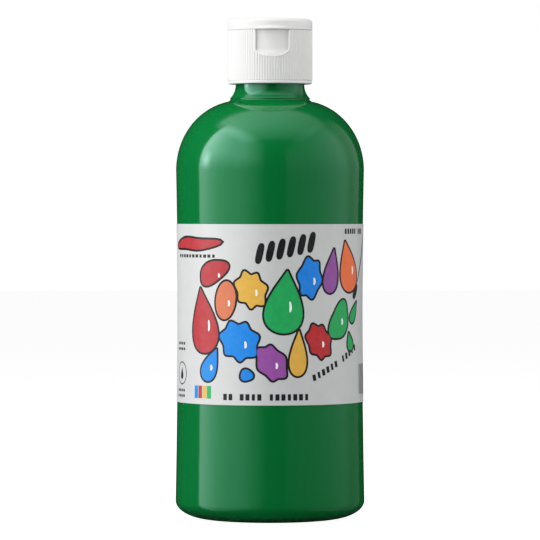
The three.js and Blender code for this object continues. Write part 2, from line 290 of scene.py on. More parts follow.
def lathe(name, outline, facets):
    """Extrudes a chain of points along an outline, and spins it once about the bottle's axis."""
    bpy.ops.mesh.primitive_plane_add(size=0.001)
    piece = bpy.context.object
    piece.name = piece.data.name = name
    edit(piece)
    bpy.ops.mesh.merge(type="CENTER")
    bpy.ops.transform.translate(value=(outline[0][0], 0, outline[0][1]))
    for (r, z), (next_r, next_z) in zip(outline, outline[1:]):
        bpy.ops.mesh.extrude_vertices_move(TRANSFORM_OT_translate={"value": (next_r - r, 0, next_z - z)})
    bpy.ops.mesh.select_all(action="SELECT")
    bpy.ops.mesh.spin(steps=facets, angle=2 * pi, center=(0, 0, 0), axis=(0, 0, 1))
    bpy.ops.mesh.select_all(action="SELECT")
    bpy.ops.mesh.remove_doubles(threshold=0.000002)
    bpy.ops.mesh.normals_make_consistent(inside=False)
    done()
    return piece


def modify(piece, kind, **settings):
    """Adds a modifier and applies it."""
    bpy.ops.object.select_all(action="DESELECT")
    piece.select_set(True)
    bpy.context.view_layer.objects.active = piece
    bpy.ops.object.modifier_add(type=kind)
    modifier = piece.modifiers[-1]
    for name, value in settings.items():
        setattr(modifier, name, value)
    bpy.ops.object.modifier_apply(modifier=modifier.name)


def combine(piece, tool, operation):
    """Joins, cuts or intersects a piece with a tool, and throws the tool away."""
    modify(piece, "BOOLEAN", operation=operation, object=tool, solver="EXACT")
    bpy.data.objects.remove(tool)


def smooth(piece, angle):
    """Shades a piece smooth, apart from edges that turn more than some degrees."""
    bpy.ops.object.select_all(action="DESELECT")
    piece.select_set(True)
    bpy.context.view_layer.objects.active = piece
    bpy.ops.object.shade_smooth_by_angle(angle=radians(angle))


def thread_bead(centre_r, bottom, sink):
    """A right-hand thread, one round bead whose ends sink into the wall it stands on."""
    bpy.ops.mesh.primitive_circle_add(vertices=12, radius=THREAD_BEAD_R, location=(centre_r, 0, bottom),
                                      rotation=(pi / 2, 0, 0))
    bead = bpy.context.object
    bpy.ops.object.transform_apply()
    steps = int(THREAD_STEPS * THREAD_TURNS)
    rise = THREAD_LEAD * THREAD_TURNS
    modify(bead, "SCREW", axis="Z", angle=2 * pi * THREAD_TURNS, screw_offset=rise,
           steps=steps, render_steps=steps, use_smooth_shade=True)
    edit(bead)
    for side, level in ((1, bottom), (-1, bottom + rise)):
        pick(bead, lambda co: (abs(co.y) < 1e-5 and co.x * side > 0
                               and abs(co.z - level) < 1.01 * THREAD_BEAD_R))
        bpy.ops.transform.resize(value=(0.4, 1, 0.4), center_override=(side * centre_r, 0, level))
        bpy.ops.transform.translate(value=(side * sink, 0, 0))
        bpy.ops.mesh.edge_face_add()
    bpy.ops.mesh.select_all(action="SELECT")
    bpy.ops.mesh.normals_make_consistent(inside=False)
    done()
    return bead


thread_bottom = THREAD_TOP_Z - THREAD_LEAD * THREAD_TURNS
flare_centre_r = NECK_R + FLARE_R
flare_start = 180 + degrees(acos((flare_centre_r - FLARE_FOOT_R) / FLARE_R))
flare = arc((flare_centre_r, FLARE_TOP_Z), FLARE_R, FLARE_R, flare_start, 180, 12)
foot_z = flare[0][1]
push_up = [(STAND_INNER_R * i / 8, PUSH_UP * (1 - (i / 8) ** 2)) for i in range(9)]
outer_lip = arc((NECK_R - MOUTH_ROUND, NECK_TOP - MOUTH_ROUND), MOUTH_ROUND, MOUTH_ROUND, 0, 90, 4)
inner_lip = arc((BORE_R + MOUTH_ROUND, NECK_TOP - MOUTH_ROUND), MOUTH_ROUND, MOUTH_ROUND, 90, 180, 4)
inner_floor = [(STAND_INNER_R * (1 - i / 4), WALL + PUSH_UP * (1 - (1 - i / 4) ** 2)) for i in range(5)]
bottle = lathe("squeeze_bottle", [
    *push_up, *body_outline(0, 18, 24, 36, NECK_FOOT_R),
    (FLARE_FOOT_R - GROOVE_DEPTH, foot_z - GROOVE_HEIGHT), (FLARE_FOOT_R - GROOVE_DEPTH, foot_z - SHARP),
    (FLARE_FOOT_R - 0.00008, foot_z), *flare[1:],
    *outer_lip, *inner_lip,
    *reversed(body_outline(WALL, 8, 8, 14, BORE_R)), *inner_floor,
], ROUND)
combine(bottle, thread_bead(NECK_R + THREAD_STAND, thread_bottom, -THREAD_SINK), "UNION")
smooth(bottle, 50)


def group(name, inputs, outputs):
    """A shader node group with named inputs, as (name, kind, value), and float outputs."""
    made = bpy.data.node_groups.new(name, "ShaderNodeTree")
    for socket, kind, value in inputs:
        made.interface.new_socket(socket, in_out="INPUT", socket_type=kind).default_value = value
    for socket in outputs:
        made.interface.new_socket(socket, in_out="OUTPUT", socket_type="NodeSocketFloat")
    entry, leave = made.nodes.new("NodeGroupInput"), made.nodes.new("NodeGroupOutput")
    return made, entry.outputs, leave.inputs


# Soft unevenness: a level that drifts by a swing about its middle.
uneven, given, out = group("unevenness", [("Vector", "NodeSocketVector", (0, 0, 0)),
                           ("Scale", "NodeSocketFloat", 100.0), ("Middle", "NodeSocketFloat", 0.5),
                           ("Swing", "NodeSocketFloat", 0.1)], ["Level"])
drift = node(uneven, "ShaderNodeTexNoise", {"Vector": given["Vector"], "Scale": given["Scale"], "Detail": 4.0,
             "Roughness": 0.55})
centred = node(uneven, "ShaderNodeMath", {0: drift.outputs[0], 1: 0.5}, operation="SUBTRACT")
doubled = node(uneven, "ShaderNodeMath", {0: centred.outputs[0], 1: 2.0}, operation="MULTIPLY")
level = node(uneven, "ShaderNodeMath", {0: doubled.outputs[0], 1: given["Swing"], 2: given["Middle"]},
             operation="MULTIPLY_ADD")
uneven.links.new(level.outputs[0], out["Level"])

# Handling marks: short fine scuffs that run round the piece, sparse, and gathered in patches.
scuffs, given, out = group("handling_marks", [("Vector", "NodeSocketVector", (0, 0, 0)),
                           ("Scale", "NodeSocketFloat", 100.0), ("Amount", "NodeSocketFloat", 1.0)],
                           ["Marks"])
drawn_out = node(scuffs, "ShaderNodeMapping", {"Vector": given["Vector"], "Rotation": (0.2, 0.1, 0.3),
                 "Scale": (1.0, 1.0, 14.0)})
hairs = node(scuffs, "ShaderNodeTexNoise", {"Vector": drawn_out.outputs[0], "Scale": given["Scale"],
             "Detail": 3.0, "Roughness": 0.6})
fine = node(scuffs, "ShaderNodeMapRange", {"Value": hairs.outputs[0], "From Min": 0.62, "From Max": 0.72})
patches = node(scuffs, "ShaderNodeTexNoise", {"Vector": given["Vector"], "Scale": 38.0, "Detail": 1.0})
where = node(scuffs, "ShaderNodeMapRange", {"Value": patches.outputs[0], "From Min": 0.48, "From Max": 0.66})
both = node(scuffs, "ShaderNodeMath", {0: fine.outputs[0], 1: where.outputs[0]}, operation="MULTIPLY")
marks = node(scuffs, "ShaderNodeMath", {0: both.outputs[0], 1: given["Amount"]}, operation="MULTIPLY")
scuffs.links.new(marks.outputs[0], out["Marks"])


def placed(tree, made, **values):
    """A node group in a material, reading the piece's own coordinates."""
    holder = node(tree, "ShaderNodeGroup", node_tree=made)
    tree.links.new(tree.nodes["Place"].outputs["Object"], holder.inputs["Vector"])
    for name, value in values.items():
        holder.inputs[name].default_value = value
    return holder.outputs[0]


def finish(name, **sockets):
    """A new material with a Principled shader, its fixed values set on the shader's own sockets."""
    made = bpy.data.materials.new(name)
    made.use_nodes = True
    shader = made.node_tree.nodes["Principled BSDF"]
    for socket, value in sockets.items():
        shader.inputs[socket.replace("_", " ")].default_value = value
    node(made.node_tree, "ShaderNodeTexCoord", name="Place")
    return made, made.node_tree, shader


def tinted(tree, factor, light, dark):
    """Two tints of one colour, mixed by a level."""
    mix = node(tree, "ShaderNodeMix", {0: factor, 6: (*light, 1), 7: (*dark, 1)}, data_type="RGBA")
    return mix.outputs[2]


def relief(tree, shader, *layers):
    """Bumps in a chain, each a height and the depth in metres that a height of one stands for."""
    normal = None
    for height, depth in layers:
        bump = node(tree, "ShaderNodeBump", {"Height": height, "Distance": depth, "Strength": 1.0})
        if normal is not None:
            tree.links.new(normal, bump.inputs["Normal"])
        normal = bump.outputs[0]
    tree.links.new(normal, shader.inputs["Normal"])


def total(tree, *levels):
    """The sum of several levels."""
    summed = levels[0]
    for level in levels[1:]:
        summed = node(tree, "ShaderNodeMath", {0: summed, 1: level}, operation="ADD").outputs[0]
    return summed


def coat(piece, material):
    """Gives a piece its one material."""
    piece.data.materials.clear()
    piece.data.materials.append(material)


GREEN = (0.0025, 0.130, 0.029)
DEEP_GREEN = (0.0018, 0.115, 0.023)
PARTING_LINE = 0.00016  # half-width of the mould's parting line, down both sides

green_gloss, tree, shader = finish("green_gloss_polyethylene", IOR=1.5, Specular_Tint=(0.5, 1.0, 0.9, 1.0))
tree.links.new(tinted(tree, placed(tree, uneven, Scale=22.0, Middle=0.5, Swing=0.5), GREEN, DEEP_GREEN),
               shader.inputs["Base Color"])
rubbed = placed(tree, scuffs, Scale=260.0, Amount=0.10)
tree.links.new(total(tree, placed(tree, uneven, Scale=45.0, Middle=0.10, Swing=0.025), rubbed),
               shader.inputs["Roughness"])
across = node(tree, "ShaderNodeSeparateXYZ", {0: tree.nodes["Place"].outputs["Object"]}).outputs["Y"]
off_line = node(tree, "ShaderNodeMath", {0: across}, operation="ABSOLUTE").outputs[0]
parting = node(tree, "ShaderNodeMapRange", {"Value": off_line, "From Min": 0.0, "From Max": PARTING_LINE,
               "To Min": 1.0, "To Max": 0.0}).outputs[0]
relief(tree, shader, (placed(tree, uneven, Scale=30.0, Middle=0.0, Swing=1.0), 0.00004),
       (placed(tree, uneven, Scale=700.0, Middle=0.0, Swing=1.0), 0.0000012), (parting, 0.00005))
coat(bottle, green_gloss)
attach(bottle, "bottle")
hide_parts("bottle")


# ---------- The paint ----------
# 473 mL of ready-mixed tempera, thick and wet. It fills the bottle up into the shoulder and creeps a little
# up the wall at its edge. Its surface keeps a few slow ripples from when the bottle was last set down.

PAINT_GAP = 0.0001
PAINT_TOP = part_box("paint")[1].z - SNUG
MENISCUS = 0.0012  # how far in from the wall the edge still climbs
MENISCUS_RISE = 0.6 * MENISCUS
RIPPLES = ((0.008, -0.006, -0.0004), (-0.010, 0.004, 0.0003), (0.002, 0.012, -0.0003))  # place and depth

inside = [(r, z) for r, z in body_outline(WALL + PAINT_GAP, 8, 8, 40, BORE_R) if z < PAINT_TOP]
dome_r = SHOULDER_R - DOME_WIDTH
edge_sine = (PAINT_TOP - SHOULDER_Z) / (DOME_HEIGHT - WALL - PAINT_GAP)
edge_r = dome_r + (DOME_WIDTH - WALL - PAINT_GAP) * sqrt(1 - edge_sine ** 2)
surface = [(edge_r - MENISCUS * t, PAINT_TOP - MENISCUS_RISE * (1 - (1 - t) ** 3))
           for t in (0, 0.25, 0.5, 1)]
middle = [(surface[-1][0] * (1 - i / 12), surface[-1][1]) for i in range(1, 13)]
paint_floor = [(r, z + WALL + PAINT_GAP) for r, z in push_up]
paint = lathe("tempera_paint", [*paint_floor, *inside, *surface, *middle], 96)
edit(paint)
for x, y, depth in RIPPLES:
    pick(paint, lambda co: co.z > PAINT_TOP - MENISCUS and hypot(co.x - x, co.y - y) < 0.002)
    bpy.ops.transform.translate(value=(0, 0, depth), use_proportional_edit=True,
                                proportional_edit_falloff="SMOOTH", proportional_size=0.006)
done()
smooth(paint, 50)

WET_GREEN = (0.003, 0.20, 0.050)
THICK_GREEN = (0.002, 0.155, 0.036)

wet_paint, tree, shader = finish("wet_tempera", IOR=1.4)
tree.links.new(tinted(tree, placed(tree, uneven, Scale=90.0, Middle=0.5, Swing=0.6), WET_GREEN, THICK_GREEN),
               shader.inputs["Base Color"])
tree.links.new(placed(tree, uneven, Scale=160.0, Middle=0.2, Swing=0.08), shader.inputs["Roughness"])
relief(tree, shader, (placed(tree, uneven, Scale=120.0, Middle=0.0, Swing=1.0), 0.0001),
       (placed(tree, uneven, Scale=1500.0, Middle=0.0, Swing=1.0), 0.000006))
coat(paint, wet_paint)
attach(paint, "bottle")
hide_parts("paint")


# ---------- The label ----------
# One sheet of silvery-white film, printed flat, then wrapped round the waist of the bottle by machine. Its
# ends lap at the back, where the upper end stands one thickness proud of the lower.

LABEL_R = 0.034  # the radius that the flat length is reckoned on
LABEL_BOTTOM, LABEL_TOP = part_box("label")[0].z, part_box("label")[1].z
LABEL_GAP, FILM = 0.00005, 0.00015
FACET = 2 * pi * LABEL_R / ROUND
LAP_FACETS = 4  # each end runs this far past the back of the bottle
LAP_RISE = 3 * FACET  # and the upper end climbs on to the lower over this length
LABEL_ROWS = 13
lap_start = pi * LABEL_R - LAP_FACETS * FACET


def wrap(piece):
    """Wraps a flat piece round the bottle: X is the length along the label, Y the height, Z the lift."""
    for vertex in piece.data.vertices:
        along, height, lift = vertex.co
        climb = min(max((along - lap_start + LAP_RISE) / LAP_RISE, 0), 1)
        lift += LABEL_GAP + (FILM + 0.000005) * climb * climb * (3 - 2 * climb)
        angle = along / LABEL_R
        radius = side_radius(height) + lift
        vertex.co = (radius * sin(angle), -radius * cos(angle), height)


columns = ROUND + 2 * LAP_FACETS
bpy.ops.mesh.primitive_grid_add(x_subdivisions=columns, y_subdivisions=LABEL_ROWS, size=1)
label = bpy.context.object
label.name = label.data.name = "wrap_label"
edit(label)
bpy.ops.mesh.select_all(action="SELECT")
bpy.ops.transform.resize(value=(columns * FACET, LABEL_TOP - LABEL_BOTTOM, 1))
bpy.ops.transform.translate(value=(0, (LABEL_TOP + LABEL_BOTTOM) / 2, 0))
done()
wrap(label)
modify(label, "SOLIDIFY", thickness=FILM, offset=1)
smooth(label, 30)

FILM_LIGHT = (0.585, 0.60, 0.595)
FILM_DARK = (0.53, 0.545, 0.55)

silver_film, tree, shader = finish("silver_white_film", IOR=1.38, Metallic=0.06)
tree.links.new(tinted(tree, placed(tree, uneven, Scale=160.0, Middle=0.5, Swing=0.7), FILM_LIGHT, FILM_DARK),
               shader.inputs["Base Color"])
rubbed = placed(tree, scuffs, Scale=200.0, Amount=0.10)
tree.links.new(total(tree, placed(tree, uneven, Scale=1200.0, Middle=0.38, Swing=0.07), rubbed),
               shader.inputs["Roughness"])
relief(tree, shader, (placed(tree, uneven, Scale=60.0, Middle=0.0, Swing=1.0), 0.00005),
       (placed(tree, uneven, Scale=2200.0, Middle=0.0, Swing=1.0), 0.000008))
coat(label, silver_film)
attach(label, "bottle")
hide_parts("label")


# ---------- The print ----------
# Screen-printed inks on the film, each colour laid down in its own pass: first black, for the outlines, the
# rows of type and the codes, then paint dabs in eight colours, and white glints last. No letters are drawn.

INK = 0.000012  # thickness of one pass, and the step from one pass to the next
OUTLINE = 0.00078  # how far black stands out round a dab
MM = 0.001


def spun(points, x, y, turn):
    """Points about their own middle, turned by some degrees and moved to their place."""
    c, s = cos(radians(turn)), sin(radians(turn))
    return [(x + c * px - s * py, y + s * px + c * py) for px, py in points]


def drop(x, y, width, height, turn=0, steps=14):
    """A drop of paint: round at the foot and drawn to a point at the top."""
    angles = [2 * pi * i / steps for i in range(steps)]
    shape = [(width * 0.62 * sin(a) * abs(sin(a / 2)) ** 1.4, height / 2 * cos(a)) for a in angles]
    return spun(shape[::-1], x, y, turn)


def dab(x, y, width, height, turn=0, lobes=3, wobble=0.1, steps=18):
    """A round dab, with a wobbling edge."""
    angles = [2 * pi * i / steps for i in range(steps)]
    swell = [1 + wobble * cos(lobes * a + 0.7) for a in angles]
    edge = [(width / 2 * k * cos(a), height / 2 * k * sin(a)) for a, k in zip(angles, swell)]
    return spun(edge, x, y, turn)


def splash(x, y, width, height, turn=0, arms=6, depth=0.34):
    """A splash, with blunt arms."""
    steps = arms * 4
    angles = [2 * pi * i / steps for i in range(steps)]
    reach = [1 - depth * (0.5 - 0.5 * cos(arms * a)) ** 0.7 + 0.08 * cos(2 * a + 1) for a in angles]
    edge = [(width / 2 * k * cos(a), height / 2 * k * sin(a)) for a, k in zip(angles, reach)]
    return spun(edge, x, y, turn)


def stroke(points, width, taper=0.75):
    """A brush stroke along a few points, fat in the middle and blunt at its ends."""
    left, right = [], []
    for i, (x, y) in enumerate(points):
        before, after = points[max(i - 1, 0)], points[min(i + 1, len(points) - 1)]
        length = hypot(after[0] - before[0], after[1] - before[1])
        nx, ny = (before[1] - after[1]) / length, (after[0] - before[0]) / length
        share = i / (len(points) - 1)
        half = width / 2 * (taper + (1 - taper) * sin(pi * share))
        left.append((x + nx * half, y + ny * half))
        right.append((x - nx * half, y - ny * half))
    return right + left[::-1]


def bar(x, y, width, height, turn=0):
    """A plain bar that stands for a word or a letter of type."""
    w, h = width / 2, height / 2
    corners = [(-w, -h), (0, -h), (w, -h), (w, 0), (w, h), (0, h), (-w, h), (-w, 0)]
    return spun(corners, x, y, turn)


def inked(name, shapes, layer, grow=0.0, straight=False):
    """Fills closed outlines, drawn flat in millimetres, cuts them along the label's facets and wraps them."""
    drawing = bpy.data.curves.new(name, "CURVE")
    drawing.dimensions = "2D"
    drawing.fill_mode = "FRONT"
    drawing.offset = grow
    drawing.resolution_u = 3
    for shape in shapes:
        spline = drawing.splines.new("POLY" if straight else "NURBS")
        spline.points.add(len(shape) - 1)
        for point, (x, y) in zip(spline.points, shape):
            point.co = (x * MM, y * MM, 0, 1)
        spline.use_cyclic_u = True
        if not straight:
            spline.order_u = 3
    piece = bpy.data.objects.new(name, drawing)
    bpy.context.scene.collection.objects.link(piece)
    bpy.ops.object.select_all(action="DESELECT")
    piece.select_set(True)
    bpy.context.view_layer.objects.active = piece
    bpy.ops.object.convert(target="MESH")
    piece = bpy.context.object
    edit(piece)
    places = [v.co.copy() for v in bmesh.from_edit_mesh(piece.data).verts]
    columns_cut = [Vector((k * FACET, 0, 0)) for k in range(-columns // 2, columns // 2 + 1)]
    row = (LABEL_TOP - LABEL_BOTTOM) / LABEL_ROWS
    rows_cut = [Vector((0, LABEL_BOTTOM + k * row, 0)) for k in range(1, LABEL_ROWS)]
    for cuts, normal in ((columns_cut, Vector((1, 0, 0))), (rows_cut, Vector((0, 1, 0)))):
        low, high = min(p.dot(normal) for p in places), max(p.dot(normal) for p in places)
        for cut in cuts:
            if low < cut.dot(normal) < high:
                bpy.ops.mesh.select_all(action="SELECT")
                bpy.ops.mesh.bisect(plane_co=cut, plane_no=normal)
    bpy.ops.mesh.select_all(action="SELECT")
    bpy.ops.transform.translate(value=(0, 0, FILM + INK * layer))
    bpy.ops.mesh.remove_doubles(threshold=0.000001)
    done()
    wrap(piece)
    return piece


def join(name, pieces):
    """One object out of several meshes."""
    bpy.ops.object.select_all(action="DESELECT")
    for piece in pieces:
        piece.select_set(True)
    bpy.context.view_layer.objects.active = pieces[0]
    bpy.ops.object.join()
    pieces[0].name = pieces[0].data.name = name
    return pieces[0]


# Each colour's dabs, at their places on the flat label, in millimetres from the middle of the front.
colours = {
    "red": ((0.36, 0.026, 0.032), [
        drop(-28.6, 73.2, 15.0, 24.0, 7), dab(-24.0, 90.6, 13.6, 7.6, 26), dab(-97, 92, 7, 7),
        stroke([(-48.0, 99.9), (-39.0, 101.4), (-31.0, 100.3), (-20.0, 101.5)], 4.4, 0.4)]),
    "salmon": ((0.60, 0.15, 0.07), [
        dab(-18.6, 80.6, 7.6, 14.6, -12, 2, 0.08), dab(-92.5, 83.5, 5, 5)]),
    "ochre": ((0.68, 0.37, 0.055), [
        splash(-8.8, 84.4, 11.8, 15.2, 10, 7, 0.26), drop(8.4, 61.6, 7.4, 16.6, -2)]),
    "green": ((0.010, 0.33, 0.085), [
        drop(3.4, 80.0, 16.5, 23.0, -5), dab(26.4, 73.0, 8.8, 14.6, -24, 3, 0.12),
        drop(32.6, 65.4, 4.4, 6.6, 14), drop(35.6, 76.0, 4.2, 8.6, -32)]),
    "blue": ((0.004, 0.19, 0.70), [
        splash(12.9, 88.6, 9.8, 16.4, -12, 6, 0.24), splash(-13.2, 66.0, 15.0, 16.4, 14, 7, 0.24),
        drop(-25.0, 57.4, 8.0, 12.8, -26), dab(-10.4, 53.8, 4.6, 4.0)]),
    "purple": ((0.25, 0.065, 0.30), [
        drop(22.2, 91.0, 7.6, 16.2, -8), splash(-1.3, 58.2, 10.4, 15.2, 24, 6, 0.2)]),
    "orange": ((0.78, 0.14, 0.045), [
        drop(31.4, 92.6, 12.6, 19.0, 14)]),
    "crimson": ((0.44, 0.018, 0.022), [
        splash(16.8, 65.8, 10.0, 14.4, 16, 7, 0.22)]),
}


def ink(name, tint):
    """A printed colour, a little thin where the screen left less of it."""
    made, tree, shader = finish(name, IOR=1.32)
    thin = tuple(min(1, channel * 1.12 + 0.012) for channel in tint)
    tree.links.new(tinted(tree, placed(tree, uneven, Scale=420.0, Middle=0.4, Swing=0.9), tint, thin),
                   shader.inputs["Base Color"])
    tree.links.new(placed(tree, uneven, Scale=900.0, Middle=0.36, Swing=0.08), shader.inputs["Roughness"])
    relief(tree, shader, (placed(tree, uneven, Scale=1800.0, Middle=0.0, Swing=1.0), 0.000006))
    return made


def printed(piece, material):
    """Inks a piece of print, which stays on the bottle."""
    coat(piece, material)
    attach(piece, "bottle")


black = [inked("outline", [shape], 1, OUTLINE) for _, shapes in colours.values() for shape in shapes]

# Rows of plain strokes and bars stand where the type is: one heavy and slanted, the others small.
heavy = [stroke([(-6.4 + 3.8 * i, 93.6 + 0.8 * i), (-5.6 + 3.8 * i, 97.4 + 0.8 * i),
                 (-4.7 + 3.8 * i, 101.2 + 0.8 * i)], 2.7, 0.85) for i in range(6)]
small = [bar(14.6 + 1.95 * i, 52.8 + 0.94 * i, 1.35 - 0.25 * (i % 3 == 1), 2.3, 12)
         for i in range(12) if i != 6]
volume = [bar(-18.6 + 2.15 * i, 45.9, 1.5 - 0.35 * (i % 3 == 2), 2.3)
          for i in range(15) if i not in (2, 7)]
maker = [bar(-44.6 + 2.1 * i, 96.4, 1.5 - 0.3 * (i % 3 == 1), 1.2) for i in range(11)]
shade = [bar(29.5 + 1.6 * i, 105.3, 1.1, 1.9) for i in range(9) if i != 5]
codes = [bar(40.4 + 0.78 * i, 51.6, 0.26 + 0.2 * (i % 3 == 0), 11) for i in range(18)]
fine_print = [bar(-46.6 + 1.9 * (i % 4), 64.6 - 2.0 * (i // 4) - 13 * (i // 8), 1.3, 1.0)
              for i in range(16)]
back_text = [bar(side + 0.6 * (row % 3) + 4.6 * i, 86.0 - 2.6 * row, 3.8 - 0.9 * ((row + i) % 3), 0.95)
             for side in (60.5, -84.5) for row in range(13) for i in range(5) if (row, i) != (12, 4)]
back_head = [bar(side + 3.0 * i, 92.0, 2.2, 2.8) for side in (60.5, -84.5) for i in range(6)]
black.append(inked("type", [*small, *volume, *maker, *shade, *codes, *fine_print, *back_text, *back_head],
                   1, straight=True))
black.append(inked("heavy_row", heavy, 1))
black.append(inked("brush", [stroke([(38.4, 86.2), (43.0, 95.0), (46.6, 104.0)], 1.0),
                             stroke([(35.2, 80.8), (36.8, 83.4), (38.4, 86.2)], 3.0)], 1))
black.append(inked("ring_mark", [dab(-43.0, 53.8, across, across, wobble=0) for across in (8.6, 7.6)], 1))
black.append(inked("ring_mark_drop", [drop(-43.0, 53.8, 2.8, 4.6)], 1))
printed(join("print_black", black), ink("black_ink", (0.006, 0.006, 0.007)))

# A white glint lies inside the right edge of each large dab.
glints = []
for _, shapes in colours.values():
    for shape in shapes:
        left, right = min(x for x, _ in shape), max(x for x, _ in shape)
        foot, head = min(y for _, y in shape), max(y for _, y in shape)
        wide, tall = right - left, head - foot
        if 7 < wide < 25:
            x, y = left + 0.66 * wide, foot + 0.41 * tall
            glints.append(stroke([(x, y - 0.07 * tall), (x + 0.3, y), (x, y + 0.1 * tall)], 0.9))
printed(inked("print_white", glints, 3), ink("white_ink", (0.86, 0.85, 0.85)))

# Each colour in its own pass, with a swatch of four of them at the foot of the label.
strip = {"blue": -32.2, "red": -30.0, "ochre": -27.8, "green": -25.6}
for name, (tint, shapes) in colours.items():
    passes = [inked("pass", shapes, 2)]
    if name in strip:
        passes.append(inked("strip", [bar(strip[name], 47.4, 2.0, 4.6)], 2, straight=True))
    printed(join("print_" + name, passes), ink(name + "_ink", tint))


# ---------- The screw cap ----------
# Injection-moulded polypropylene, white and satin. A skirt of a hundred fine ribs carries the inner thread.
# Its deck has the dispensing hole, a low spout and a ring that centres the lid. Its front has a thumb notch.

CAP_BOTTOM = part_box("cap_body")[0].z
PARTING_Z = 0.1785
CAP_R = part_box("flip_lid")[1].x - SNUG
RIBS = 100
RIB_DEPTH = 0.0003
RIB_STEPS = 6  # points along the outline of one rib
FOOT_BEAD_R, FOOT_BEAD_HEIGHT = 0.01535, 0.0012
SKIRT_BORE_R = 0.01395
DECK_THICKNESS = 0.0016
ORIFICE_R, SPOUT_R, SPOUT_HEIGHT = 0.0032, 0.0046, 0.0013
SEAT_RING_R, SEAT_RING_WALL, SEAT_RING_HEIGHT = 0.0134, 0.0008, 0.001
NOTCH_HALF_WIDTH, NOTCH_STRAIGHT, NOTCH_ROUND = 0.0061, 0.0066, 0.00315
NOTCH_FLOOR_R, NOTCH_RAMP = 0.01455, 0.0023
NOTCH_RIM_R = 0.00024
THREAD_ROOT = 0.0003
EASE = 0.00015  # small rounding of moulded edges

deck_bottom = PARTING_Z - DECK_THICKNESS
bead_top = CAP_BOTTOM + FOOT_BEAD_HEIGHT
spout_top = PARTING_Z + SPOUT_HEIGHT
ring_top = PARTING_Z + SEAT_RING_HEIGHT
ring_inner = SEAT_RING_R - SEAT_RING_WALL
cap = lathe("ribbed_cap", [
    (SKIRT_BORE_R, CAP_BOTTOM + EASE), (SKIRT_BORE_R + EASE, CAP_BOTTOM),
    (FOOT_BEAD_R - 2 * EASE, CAP_BOTTOM), (FOOT_BEAD_R - 0.6 * EASE, CAP_BOTTOM + 0.6 * EASE),
    (FOOT_BEAD_R, CAP_BOTTOM + 2 * EASE), (FOOT_BEAD_R, bead_top - 2 * EASE),
    (FOOT_BEAD_R - EASE, bead_top - EASE), (FOOT_BEAD_R - EASE, bead_top),
    (CAP_R - EASE, bead_top + 0.3 * EASE), (CAP_R, bead_top + 1.5 * EASE), (CAP_R, PARTING_Z - 0.004),
    (CAP_R, PARTING_Z - EASE), (CAP_R - EASE, PARTING_Z),
    (SEAT_RING_R, PARTING_Z), (SEAT_RING_R, ring_top - EASE), (SEAT_RING_R - EASE, ring_top),
    (ring_inner + EASE, ring_top), (ring_inner, ring_top - EASE), (ring_inner, PARTING_Z),
    (SPOUT_R + 2 * EASE, PARTING_Z), (SPOUT_R, PARTING_Z + 2 * EASE), (SPOUT_R - 2 * EASE, spout_top - EASE),
    (SPOUT_R - 3 * EASE, spout_top), (ORIFICE_R + EASE, spout_top), (ORIFICE_R, spout_top - EASE),
    (ORIFICE_R, deck_bottom), (SKIRT_BORE_R - 2 * EASE, deck_bottom), (SKIRT_BORE_R, deck_bottom - 2 * EASE),
    (SKIRT_BORE_R, CAP_BOTTOM + EASE),
], RIBS * RIB_STEPS)


def rib_step(co):
    """Which point along its rib's outline a vertex is."""
    return round(atan2(co.y, co.x) / (2 * pi) * RIBS * RIB_STEPS) % RIB_STEPS


edit(cap)
for step in range(1, RIB_STEPS):
    depth = RIB_DEPTH * (1 - cos(2 * pi * step / RIB_STEPS)) / 2
    pick(cap, lambda co: hypot(co.x, co.y) > CAP_R - 0.5 * EASE and rib_step(co) == step)
    shrink = 1 - depth / CAP_R
    bpy.ops.transform.resize(value=(shrink, shrink, 1))
done()

# The notch's cutter is the space outside a round floor with a sloping foot, kept where a U is from the front.
OVERCUT = 0.001
notch_bottom = PARTING_Z - NOTCH_STRAIGHT - NOTCH_ROUND
ramp_top = notch_bottom + NOTCH_RAMP
over = PARTING_Z + OVERCUT
ramp_foot = (CAP_R + 0.0001, notch_bottom)
cutter = lathe("notch_cutter", [
    ramp_foot, (CAP_R + OVERCUT, notch_bottom), (CAP_R + OVERCUT, over), (NOTCH_FLOOR_R, over),
    (NOTCH_FLOOR_R, ramp_top + 0.0006), (NOTCH_FLOOR_R + 0.0002, ramp_top - 0.0003), ramp_foot], ROUND)
u_points = [(NOTCH_HALF_WIDTH, over),
            *arc((0, PARTING_Z - NOTCH_STRAIGHT), NOTCH_HALF_WIDTH, NOTCH_ROUND, 0, -180, 28),
            (-NOTCH_HALF_WIDTH, over)]
bpy.ops.mesh.primitive_circle_add(vertices=len(u_points), fill_type="NGON")
u_block = bpy.context.object
for vertex, (x, z) in zip(u_block.data.vertices, u_points):
    vertex.co = (x, -2 * CAP_R, z)
edit(u_block)
bpy.ops.mesh.select_all(action="SELECT")
bpy.ops.mesh.extrude_region_move(TRANSFORM_OT_translate={"value": (0, 1.4 * CAP_R, 0)})
bpy.ops.mesh.select_all(action="SELECT")
bpy.ops.mesh.normals_make_consistent(inside=False)
done()
combine(cutter, u_block, "INTERSECT")
combine(cap, cutter, "DIFFERENCE")

